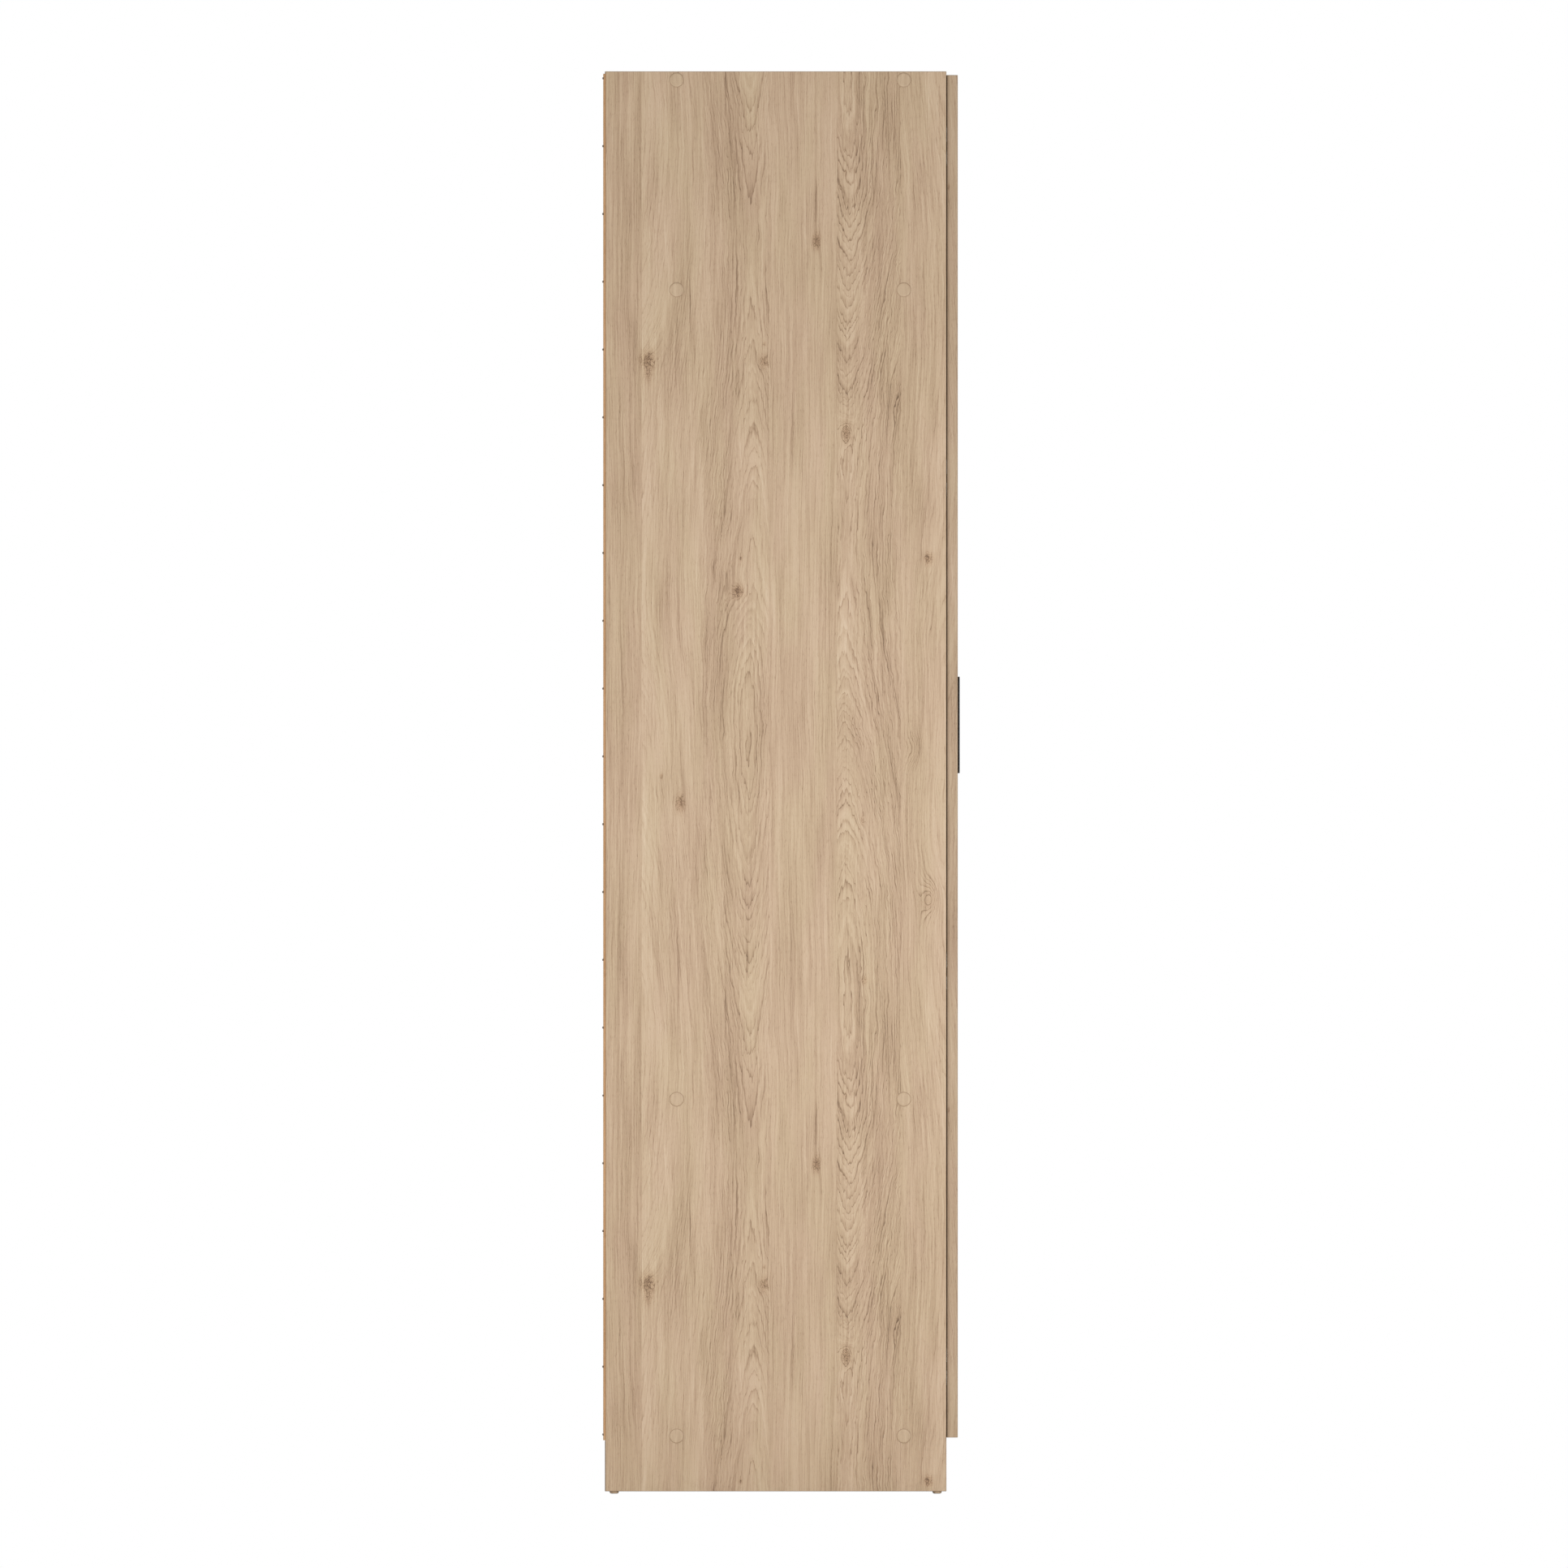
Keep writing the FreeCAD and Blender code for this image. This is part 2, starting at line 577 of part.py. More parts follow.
def z_span(z, upper, inner, outer):
    """The span from inner to outer above the hinge's middle, or the same below it."""
    return (z + inner, z + outer) if upper else (z - outer, z - inner)


def link(z, upper, arm_pivot, bend, cup_pivot, cup_boss, cup_clearance):
    """A bent link between an arm pivot and a cup pivot, in its half of the hinge's height."""
    span = z_span(z, upper, LINK_MIDDLE_CLEARANCE, LINK_MIDDLE_CLEARANCE + LINK_THICKNESS)
    body = strap((arm_pivot, bend, cup_pivot), LINK_HALF_WIDTH, *span)
    body = body.fuse(strap((cup_pivot,), cup_boss, *span)).removeSplitter()
    arm_hole = HINGE_PIN_DIAMETER + 2 * HINGE_PIN_CLEARANCE
    cup_hole = HINGE_PIN_DIAMETER + 2 * cup_clearance
    return body.cut([pivot_pin(arm_pivot, *span, arm_hole), pivot_pin(cup_pivot, *span, cup_hole)])


def front_link(z):
    return link(z, True, FRONT_ARM_PIVOT, FRONT_LINK_BEND, FRONT_CUP_PIVOT,
                LINK_HALF_WIDTH, HINGE_PIN_CLEARANCE)


def rear_link(z):
    return link(z, False, REAR_ARM_PIVOT, REAR_LINK_BEND, REAR_CUP_PIVOT,
                REAR_LINK_CUP_BOSS, OPEN_PIVOT_CLEARANCE)


def cup_pins(z):
    outer = LINK_WELL_HALF_WIDTH + HINGE_PIN_SEAT
    return [pivot_pin(FRONT_CUP_PIVOT, *z_span(z, True, LINK_MIDDLE_CLEARANCE, outer)),
            pivot_pin(REAR_CUP_PIVOT, *z_span(z, False, LINK_MIDDLE_CLEARANCE, outer))]


def arm_pins(z):
    outer = ARM_CHEEK_INNER + ARM_CHEEK_THICKNESS
    return [pivot_pin(FRONT_ARM_PIVOT, *z_span(z, True, LINK_MIDDLE_CLEARANCE, outer)),
            pivot_pin(REAR_ARM_PIVOT, *z_span(z, False, LINK_MIDDLE_CLEARANCE, outer))]


def cup_bore(z):
    u = DOOR_REVEAL + HINGE_CUP_EDGE_DISTANCE + HINGE_CUP_DIAMETER / 2
    return Part.makeCylinder(HINGE_CUP_DIAMETER / 2, HINGE_CUP_DEPTH, place((u, DOOR_GAP), z), FORWARD)


def cup_screws(z):
    face = DOOR_GAP - CUP_FLANGE_THICKNESS
    return [pan_screw(place((CUP_SCREW_U, face), z + side * CUP_SCREW_SPACING / 2), FORWARD,
                      CUP_SCREW_LENGTH, head_height=CUP_SCREW_HEAD_HEIGHT) for side in (-1, 1)]


def hinge_cup(z):
    face = DOOR_GAP - CUP_FLANGE_THICKNESS
    half_length = CUP_FLANGE_LENGTH / 2
    flange = hinge_block((CUP_FLANGE_START, CUP_FLANGE_END), (face, DOOR_GAP),
                         (z - half_length, z + half_length))
    flange = flange.makeFillet(CUP_FLANGE_CORNER, edges_along(flange, FORWARD))
    floor = DOOR_GAP + HINGE_CUP_DEPTH - HINGE_CUP_FLOOR
    depth = (face - 1, floor)
    wells = [hinge_block(u_range, depth, (z - half_width, z + half_width))
             for u_range, half_width in ((LINK_WELL, LINK_WELL_HALF_WIDTH), (ARM_WELL, ARM_WELL_HALF_WIDTH))]
    cup = cup_bore(z).fuse(flange).removeSplitter()
    return cup.cut(wells + cup_screws(z) + cup_pins(z))


def plate_screws(z):
    u = BOARD + PLATE_THICKNESS
    return [pan_screw(place((u, PLATE_SCREW_V), z + side * PLATE_SCREW_SPACING / 2), LEFT,
                      SMALL_SCREW_LENGTH) for side in (-1, 1)]


def mounting_plate(z):
    top = BOARD + PLATE_THICKNESS
    half_tongue = ARM_CHEEK_INNER + ARM_CHEEK_THICKNESS
    half_length = PLATE_WING_LENGTH / 2
    half_width = PLATE_WING_WIDTH / 2
    wing = hinge_block((BOARD, top), (PLATE_SCREW_V - half_width, PLATE_SCREW_V + half_width),
                       (z - half_length, z + half_length))
    wing = wing.makeFillet(PLATE_CORNER, edges_along(wing, RIGHT))
    tongue = hinge_block((BOARD, top), (ARM_REAR, PLATE_FRONT), (z - half_tongue, z + half_tongue))
    return wing.fuse(tongue).removeSplitter().cut(plate_screws(z) + arm_screws(z))


def arm_screws(z):
    u = ARM_WEB_U + ARM_WEB_THICKNESS / 2
    return [pan_screw(place((u, v), z), LEFT, ARM_SCREW_LENGTH, ARM_SCREW_DIAMETER,
                      ARM_SCREW_HEAD_DIAMETER) for v in ARM_SCREW_VS]


def hinge_arm(z):
    """A channel on the mounting plate: two cheeks that carry the pivots, joined by a web."""
    rear = (BOARD + PLATE_THICKNESS + ARM_BOSS_RADIUS, ARM_REAR + ARM_BOSS_RADIUS)
    knee = (rear[0], ARM_KNEE_V)
    top = ARM_WEB_U
    pieces = []
    for upper in (True, False):
        low, high = z_span(z, upper, ARM_CHEEK_INNER, ARM_CHEEK_INNER + ARM_CHEEK_THICKNESS)
        pieces.append(strap((rear, knee, FRONT_ARM_PIVOT, REAR_ARM_PIVOT, knee), ARM_BOSS_RADIUS, low, high))
        corners = [place(p, low) for p in (knee, FRONT_ARM_PIVOT, REAR_ARM_PIVOT, knee)]
        pieces.append(Part.Face(Part.makePolygon(corners)).extrude(UP * ARM_CHEEK_THICKNESS))
        side = hinge_block((rear[0], top + ARM_WEB_THICKNESS / 2), (ARM_REAR, ARM_KNEE_V), (low, high))
        pieces.append(side)
    low, high = z - ARM_CHEEK_INNER - ARM_CHEEK_THICKNESS, z + ARM_CHEEK_INNER + ARM_CHEEK_THICKNESS
    bend = (REAR_ARM_PIVOT[0] - ARM_WEB_STOP, REAR_ARM_PIVOT[1] - ARM_WEB_STOP)
    pieces.append(strap(((top, ARM_REAR + 1), (top, ARM_KNEE_V), bend), ARM_WEB_THICKNESS / 2, low, high))
    return pieces[0].fuse(pieces[1:]).removeSplitter().cut(arm_pins(z) + arm_screws(z))


# Assembly

def near(tools, shape):
    return [tool for tool in tools if tool.BoundBox.intersect(shape.BoundBox)]


def drilled(shape, tools):
    return shape.cut(near(tools, shape))


def at_each_hinge(maker):
    made = []
    for z in HINGE_HEIGHTS:
        piece = maker(z)
        made += piece if isinstance(piece, list) else [piece]
    return made


def save(name, shapes):
    shapes = shapes if isinstance(shapes, list) else [shapes]
    solids = [solid for shape in shapes for solid in shape.Solids]
    body = solids[0] if len(solids) == 1 else Part.makeCompound(solids)
    valid = all(solid.isValid() and solid.isClosed() for solid in solids)
    body.exportStep(f"parts/{name}.step")
    print(f"{name}: {len(solids)} solids, valid {valid}, {body.Volume / 1000:.1f} cm3")


def save_pair(name, left_shapes):
    save(f"left_{name}", left_shapes)
    save(f"right_{name}", mirrored(left_shapes))


def save_both(name, left_shapes):
    save(name, left_shapes + mirrored(left_shapes))


def main():
    os.makedirs("parts", exist_ok=True)
    all_nails = nails()
    confirmat_holes = left_fasteners(confirmat_envelope)
    all_dowels = dowels()
    glides = left_glides()
    plates_screwed = at_each_hinge(plate_screws)
    corner_screws = plinth_screws()
    bracket_screws = wall_bracket_screws()

    side = rounded(block((-HALF_WIDTH, CARCASS_FRONT, SIDE_BOTTOM), (-INNER_HALF, CARCASS_REAR, SIDE_TOP)))
    side_tools = all_nails + confirmat_holes + all_dowels + glides + plates_screwed + left_pin_holes()
    side_panel = drilled(side, side_tools)
    save_pair("side_panel", [side_panel])

    paired_tools = confirmat_holes + corner_screws + bracket_screws
    board_tools = all_nails + all_dowels + paired_tools + mirrored(paired_tools)
    shelf_front = CARCASS_FRONT + FIXED_SHELF_SETBACK
    boards = {
        "top_panel": board_across(TOP_PANEL_Z, CARCASS_FRONT, CARCASS_REAR),
        "upper_fixed_shelf": board_across(UPPER_SHELF_Z, shelf_front, CARCASS_REAR),
        "lower_fixed_shelf": board_across(LOWER_SHELF_Z, shelf_front, CARCASS_REAR),
        "bottom_panel": board_across(BOTTOM_PANEL_Z, CARCASS_FRONT, CARCASS_REAR),
        "plinth_board": plinth_board(),
    }
    for name, board in boards.items():
        save(name, drilled(board, board_tools))
    for name, z in SHELF_HEIGHTS.items():
        save(name, adjustable_shelf(z))

    save_pair("back_panel", [drilled(back_half(), all_nails + [wall_hole()])])
    save("back_joint_tape", back_tape())
    save("back_nails", all_nails)
    save_both("nail_glides", glides)
    save_pair("cover_caps", left_fasteners(cover_cap))
    save_pair("confirmat_screws", left_fasteners(confirmat))
    save("wooden_dowels", all_dowels)
    save_both("shelf_pins", left_shelf_pins())
    save_both("plinth_blocks", [plinth_block().cut(corner_screws)])
    save_both("plinth_screws", corner_screws)
    save_both("wall_brackets", [wall_bracket()])
    save_both("wall_bracket_screws", bracket_screws)
    save_both("door_bumpers", left_bumpers())

    door_screws = pull_screws() + at_each_hinge(cup_screws)
    save_pair("door", [left_door(door_screws)])
    save_pair("pull", [left_pull()])
    save_pair("pull_screws", pull_screws())
    save_pair("hinge_mounting_plates", at_each_hinge(mounting_plate))
    save_pair("hinge_plate_screws", plates_screwed)
    save_pair("hinge_arms", at_each_hinge(hinge_arm))
    save_pair("hinge_arm_screws", at_each_hinge(arm_screws))
    save_pair("hinge_arm_pins", at_each_hinge(arm_pins))
    save_pair("hinge_front_links", at_each_hinge(front_link))
    save_pair("hinge_rear_links", at_each_hinge(rear_link))
    save_pair("hinge_cups", at_each_hinge(hinge_cup))
    save_pair("hinge_cup_pins", at_each_hinge(cup_pins))
    save_pair("hinge_cup_screws", at_each_hinge(cup_screws))


main()
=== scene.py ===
import math

import bmesh
import bpy
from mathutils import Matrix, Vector

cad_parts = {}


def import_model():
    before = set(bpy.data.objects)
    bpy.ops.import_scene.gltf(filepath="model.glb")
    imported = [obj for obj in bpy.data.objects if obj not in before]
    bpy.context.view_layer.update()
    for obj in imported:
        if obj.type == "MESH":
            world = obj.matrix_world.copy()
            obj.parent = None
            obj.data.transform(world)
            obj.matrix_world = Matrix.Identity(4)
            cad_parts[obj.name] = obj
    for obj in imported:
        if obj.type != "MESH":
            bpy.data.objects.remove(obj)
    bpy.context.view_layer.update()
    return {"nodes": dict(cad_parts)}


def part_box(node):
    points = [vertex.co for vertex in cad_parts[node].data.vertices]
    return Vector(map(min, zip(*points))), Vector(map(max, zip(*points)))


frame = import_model()

NODES = frame["nodes"]

# Where the cabinet is, from its CAD nodes (metres)
SIDE_LOW, SIDE_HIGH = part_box("left_side_panel")
REAR = SIDE_HIGH.y
FRONT = SIDE_LOW.y
TOP = SIDE_HIGH.z
HALF_WIDTH = -SIDE_LOW.x
DOOR_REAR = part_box("left_door")[1].y

FULL_TURN = 2 * math.pi


# ---------------------------------------------------------------- node helpers

class Value:
    """A number socket of a node tree. Sums and products of values become Math nodes."""

    def __init__(self, graph, socket):
        self.graph = graph
        self.socket = socket

    def math(self, operation, *others, clamp=False):
        return self.graph.math(operation, self, *others, clamp=clamp)

    def __add__(self, other):
        return self.math("ADD", other)

    def __sub__(self, other):
        return self.math("SUBTRACT", other)

    def __mul__(self, other):
        return self.math("MULTIPLY", other)

    __rmul__ = __mul__

    def __truediv__(self, other):
        return self.math("DIVIDE", other)

    def __pow__(self, other):
        return self.math("POWER", other)

    def abs(self):
        return self.math("ABSOLUTE")

    def times_plus(self, factor, extra):
        return self.math("MULTIPLY_ADD", factor, extra)

    def fall_off(self, rate=1.0):
        """1 where the value is 0, fading towards 0 as it grows."""
        return (self * -rate).math("EXPONENT")


class Graph:
    """Builds one node tree."""

    def __init__(self, tree):
        self.tree = tree

    def node(self, kind, **settings):
        made = self.tree.nodes.new(kind)
        for name, value in settings.items():
            setattr(made, name, value)
        return made

    def put(self, socket, value):
        """Links a value or socket to an input, or sets the input to a constant. None leaves it alone."""
        if isinstance(value, Value):
            self.tree.links.new(value.socket, socket)
        elif isinstance(value, bpy.types.NodeSocket):
            self.tree.links.new(value, socket)
        elif value is not None:
            socket.default_value = value

    def math(self, operation, *values, clamp=False):
        made = self.node("ShaderNodeMath", operation=operation, use_clamp=clamp)
        for socket, value in zip(made.inputs, values):
            self.put(socket, value)
        return Value(self, made.outputs[0])

    def combine(self, x, y, z):
        made = self.node("ShaderNodeCombineXYZ")
        for socket, value in zip(made.inputs, (x, y, z)):
            self.put(socket, value)
        return made.outputs[0]

    def separate(self, vector):
        made = self.node("ShaderNodeSeparateXYZ")
        self.put(made.inputs[0], vector)
        return [Value(self, socket) for socket in made.outputs]

    def dot(self, vector, direction):
        made = self.node("ShaderNodeVectorMath", operation="DOT_PRODUCT")
        self.put(made.inputs[0], vector)
        made.inputs[1].default_value = direction
        return Value(self, made.outputs["Value"])

    def scaled(self, vector, factors):
        made = self.node("ShaderNodeVectorMath", operation="MULTIPLY")
        self.put(made.inputs[0], vector)
        made.inputs[1].default_value = factors
        return made.outputs[0]

    def smooth(self, value, start, end):
        """0 up to start and 1 from end on, with a soft step between."""
        made = self.node("ShaderNodeMapRange", interpolation_type="SMOOTHSTEP")
        self.put(made.inputs["Value"], value)
        made.inputs["From Min"].default_value = min(start, end)
        made.inputs["From Max"].default_value = max(start, end)
        made.inputs["To Min"].default_value = 0.0 if start < end else 1.0
        made.inputs["To Max"].default_value = 1.0 if start < end else 0.0
        return Value(self, made.outputs[0])

    def noise(self, vector, scale=1.0, detail=2.0, roughness=0.5):
        made = self.node("ShaderNodeTexNoise", noise_dimensions="3D")
        self.put(made.inputs["Vector"], vector)
        made.inputs["Scale"].default_value = scale
        made.inputs["Detail"].default_value = detail
        made.inputs["Roughness"].default_value = roughness
        return Value(self, made.outputs["Fac"])

    def ramp(self, factor, stops, interpolation="LINEAR"):
        made = self.node("ShaderNodeValToRGB")
        made.color_ramp.interpolation = interpolation
        elements = made.color_ramp.elements
        while len(elements) < len(stops):
            elements.new(1.0)
        for element, (position, colour) in zip(elements, stops):
            element.position = position
            element.color = (*colour, 1.0)
        self.put(made.inputs[0], factor)
        return made.outputs[0]

    def mix(self, factor, first, second, blend="MIX"):
        made = self.node("ShaderNodeMix", data_type="RGBA", blend_type=blend)
        self.put(made.inputs["Factor"], factor)
        for name, value in (("A", first), ("B", second)):
            socket = [s for s in made.inputs if s.name == name and s.type == "RGBA"][0]
            self.put(socket, (*value, 1.0) if isinstance(value, tuple) else value)
        return [s for s in made.outputs if s.type == "RGBA"][0]

    def soft_edges(self, radius):
        """The surface normal with its sharp edges rounded off over a radius."""
        made = self.node("ShaderNodeBevel", samples=4)
        made.inputs["Radius"].default_value = radius
        return made.outputs[0]

    def bump(self, height, distance, strength, normal=None):
        """The surface normal over a relief that is as deep as the distance, in metres."""
        made = self.node("ShaderNodeBump")
        made.inputs["Strength"].default_value = strength
        made.inputs["Distance"].default_value = distance
        self.put(made.inputs["Height"], height)
        self.put(made.inputs["Normal"], normal)
        return made.outputs[0]

    def call(self, group, **values):
        made = self.node("ShaderNodeGroup", node_tree=group)
        for name, value in values.items():
            self.put(made.inputs[name], value)
        return made.outputs


# How much darker a wood's own colour is than it looks in the studio light
WOOD_LIGHT = (0.605, 0.589, 0.558)


def srgb(red, green, blue):
    """A colour given as on a screen, 0 to 255, in linear light."""
    channels = [c / 255 for c in (red, green, blue)]
    return tuple(c / 12.92 if c <= 0.04045 else ((c + 0.055) / 1.055) ** 2.4 for c in channels)


def wood(red, green, blue):
    """A wood colour as it looks in the studio light, turned into the surface's own colour."""
    return tuple(c * light for c, light in zip(srgb(red, green, blue), WOOD_LIGHT))


def new_group(name, inputs, outputs):
    """A node group with number inputs. Returns it, its graph, its inputs and its output node."""
    tree = bpy.data.node_groups.new(name, "ShaderNodeTree")
    for label in inputs:
        tree.interface.new_socket(label, in_out="INPUT", socket_type="NodeSocketFloat")
    for label, kind in outputs.items():
        tree.interface.new_socket(label, in_out="OUTPUT", socket_type=kind)
    graph = Graph(tree)
    entry = graph.node("NodeGroupInput")
    leave = graph.node("NodeGroupOutput")
    return tree, graph, [Value(graph, s) for s in entry.outputs][:len(inputs)], leave


def new_material(name):
    """A material with an empty shader. The places are the frame's metres, with the cabinet at rest."""
    material = bpy.data.materials.new(name)
    material.use_nodes = True
    tree = material.node_tree
    tree.nodes.clear()
    graph = Graph(tree)
    shader = graph.node("ShaderNodeBsdfPrincipled")
    leave = graph.node("ShaderNodeOutputMaterial")
    tree.links.new(shader.outputs[0], leave.inputs[0])
    place = graph.node("ShaderNodeTexCoord")
    return material, graph, shader, place.outputs["Object"], place.outputs["Normal"]


def finish_shader(graph, shader, **values):
    """Sets or links the shader's inputs, named as base_color for Base Color."""
    for name, value in values.items():
        socket = shader.inputs[name.replace("_", " ").title().replace("Ior", "IOR")]
        if isinstance(value, tuple):
            value = (*value, 1.0)
        graph.put(socket, value)


# ---------------------------------------------------------------- wood print

# Places on the print are in metres: across from the left side panel's rear edge, along down from its top
PRINT_REPEAT = 1.3          # the print starts again after this length
WIDEST_BOARD = 0.5
LINES_PER_METRE = 235       # growth lines, across the grain
FIGURE_HALF_WIDTH = 0.03    # of the arches in a stave

# The printed staves: where each starts, where its figure's axis is, how far the figure sways along the
# axis, where it peaks, how light it is and how strong its lines are
STAVES = (
    (0.000, -0.070, 0.012, 0.20, 0.48, 0.80),
    (0.050, 0.046, 0.040, 0.75, 0.55, 1.10),
    (0.136, 0.204, 0.036, 0.25, 0.48, 1.40),
    (0.230, 0.170, 0.006, 0.60, 0.53, 0.85),
    (0.325, 0.341, 0.052, 0.66, 0.47, 1.80),
    (0.416, 0.478, 0.022, 0.35, 0.51, 0.95),
)

# How a stave's numbers are packed into the 0 to 1 of a colour ramp: times a scale, plus a shift
STAVE_SCALE = (1.0, 1.0, 10.0, 1.0, 1.0, 0.5)
STAVE_SHIFT = (0.0, 0.2, 0.0, 0.0, 0.0, 0.0)

# Knots and swells: across, along, half width, half length, how much they bend the grain, how dark
KNOTS = (
    (0.059, 0.407, 0.010, 0.013, 0.016, 1.00),
    (0.060, 0.428, 0.006, 0.010, 0.003, 0.50),
    (0.339, 0.509, 0.006, 0.013, 0.024, 1.00),
    (0.297, 0.239, 0.005, 0.011, 0.007, 1.00),
    (0.223, 0.409, 0.006, 0.009, 0.008, 0.80),
    (0.223, 0.384, 0.002, 0.003, 0.001, 0.70),
    (0.405, 0.461, 0.010, 0.030, 0.012, 0.10),
    (0.187, 0.732, 0.008, 0.009, 0.017, 1.00),
    (0.190, 0.686, 0.0018, 0.003, 0.001, 0.80),
    (0.455, 0.686, 0.006, 0.008, 0.010, 1.00),
    (0.105, 1.031, 0.006, 0.012, 0.008, 1.00),
    (0.079, 0.993, 0.002, 0.004, 0.001, 0.80),
    (0.434, 0.955, 0.014, 0.026, 0.018, 0.12),
    (0.457, 1.166, 0.011, 0.022, 0.030, 0.25),
    (0.364, 1.280, 0.004, 0.006, 0.004, 0.75),
    (0.361, 1.055, 0.003, 0.006, 0.008, 0.35),
    (0.339, 0.143, 0.002, 0.005, 0.002, 0.60),
    (0.205, 0.740, 0.035, 0.110, 0.014, 0.00),
    (0.075, 0.900, 0.050, 0.160, -0.016, 0.00),
    (0.070, 0.420, 0.030, 0.100, 0.010, 0.00),
    (0.400, 0.300, 0.040, 0.200, 0.008, 0.00),
)

# Dark streaks: across, middle along, half width, half length, how dark
STREAKS = (
    (0.102, 1.280, 0.0018, 0.080, 0.40),
    (0.119, 0.318, 0.0009, 0.038, 0.45),
    (0.296, 0.190, 0.0018, 0.038, 0.45),
    (0.115, 0.180, 0.0009, 0.040, 0.28),
    (0.199, 1.250, 0.0020, 0.030, 0.30),
    (0.169, 1.310, 0.0009, 0.042, 0.28),
    (0.283, 0.190, 0.0009, 0.032, 0.28),
)


def stave_settings(g, across):
    """Axis, sway, peak, lightness and strength of the stave at a point, read from two colour ramps."""
    values = []
    for columns in ((1, 2, 3), (4, 5)):
        stops = []
        for stave in STAVES:
            packed = [STAVE_SCALE[i] * stave[i] + STAVE_SHIFT[i] for i in columns]
            stops.append((stave[0] / WIDEST_BOARD, (packed + [0.0])[:3]))
        parts = g.node("ShaderNodeSeparateColor")
        g.put(parts.inputs[0], g.ramp(across / WIDEST_BOARD, stops, "CONSTANT"))
        for i, socket in zip(columns, parts.outputs):
            values.append((Value(g, socket) - STAVE_SHIFT[i]) / STAVE_SCALE[i])
    return values


def wood_print():
    """The printed oak pattern, as a node group that takes metres across and along the grain."""
    tree, g, (across, along), leave = new_group(
        "oak print", ("Across", "Along"),
        {"Color": "NodeSocketColor", "Tone": "NodeSocketFloat", "Height": "NodeSocketFloat"})
    angle = along * (FULL_TURN / PRINT_REPEAT)
    cosine, sine = angle.math("COSINE"), angle.math("SINE")

    def field(position, per_metre_across, per_metre_along, shift=0.0, detail=2.0, roughness=0.5):
        """Noise that repeats along the grain, about 0 to 1."""
        radius = per_metre_along * PRINT_REPEAT / FULL_TURN
        vector = g.combine(position.times_plus(per_metre_across, shift), cosine * radius, sine * radius)
        return g.noise(vector, 1.0, detail, roughness)

    # The grain wanders a little, more where the lines are strong
    axis, sway, peak, lightness, strength = stave_settings(g, across)
    drift = (field(across, 9, 3.0, 3.1, 1.0) - 0.5) * 0.018
    wobble = (field(across, 55, 30, 9.7, 3.0) - 0.5) * 0.0050 * strength
    jagged = (field(across, 330, 34, 17.3, 1.0) - 0.5) * 0.0022 * strength
    place = across + drift + wobble
    spot_place = across + wobble * 0.5

    def from_spot(at, middle, half_width, half_length):
        """The squared distance from a spot's middle, 1 at its rim."""
        off_across = (spot_place - at) / half_width
        off_along = g.math("WRAP", along - middle, PRINT_REPEAT / 2, -PRINT_REPEAT / 2) / half_length
        return off_across * off_across + off_along * off_along

    # The growth lines are the level lines of phase: arches along each stave's axis, bent around the knots
    from_axis = (place - axis).abs() / FIGURE_HALF_WIDTH
    swing = (angle - peak * (FULL_TURN / PRINT_REPEAT)).math("COSINE") * sway
    phase = from_axis ** 1.5 * 0.02 + swing + jagged
    shade = bent = streak = None
    for at, middle, half_width, half_length, bend, dark in KNOTS:
        square = from_spot(at, middle, half_width, half_length)
        push = g.math("DIVIDE", bend, square + 1.0)
        phase = push + phase
        if dark:
            bent = push if bent is None else bent + push
            core = square.fall_off()
            shade = core * dark if shade is None else core.times_plus(dark, shade)
    for at, middle, half_width, half_length, dark in STREAKS:
        near = from_spot(at, middle, half_width, half_length).fall_off()
        streak = near * dark if streak is None else near.times_plus(dark, streak)

    broad = field(phase, 110, 3.0, 1.7, 2.0)
    bands = field(phase, 420, 7, 5.2, 2.0, 0.55)
    turns = (phase * LINES_PER_METRE + (broad - 0.5) * 3.0).math("FRACT")
    line = (turns ** 6) * g.smooth(turns, 1.0, 0.93)
    faded = g.smooth(field(phase, 90, 16, 12.4, 2.0), 0.30, 0.60)
    streaks = field(place, 640, 9, 8.4, 2.0, 0.6)
    fibre = field(across, 1900, 110, 2.6, 1.0, 0.5)
    patches = field(place, 26, 4, 14.9, 2.0)
    pores = g.smooth(field(place, 1300, 160, 6.6, 1.0, 0.4), 0.60, 0.76)

    # Tone: 0 is the darkest colour of the print and 1 the lightest. The arches glow along their axis.
    glow = (from_axis * from_axis).fall_off(1.2) * 0.09
    tone = (broad - 0.5) * 0.24 + (bands - 0.5) * 0.34 * strength + lightness + glow
    ringed = g.smooth(bent, 0.0045, 0.0140)
    tone = tone - line * ((faded * 0.28 + glow * 0.9) * strength + ringed * 0.34)
    tone = (streaks - 0.5) * 0.76 + (fibre - 0.5) * 0.20 + tone
    tone = (patches - 0.5) * 0.44 - pores * 0.15 + tone
    curls = g.smooth((field(across, 260, 230, 7.7, 1.0) - 0.5).abs(), 0.055, 0.0)
    tone = tone - shade * (curls * 0.50 + 0.30) - streak * (streaks + 0.35)
    tone = tone.math("ADD", 0.015, clamp=True)

    colour = g.ramp(tone, [
        (0.00, wood(120, 94, 72)), (0.20, wood(160, 132, 105)), (0.40, wood(188, 161, 133)),
        (0.60, wood(205, 180, 152)), (0.80, wood(214, 191, 165)), (1.00, wood(224, 203, 179))])
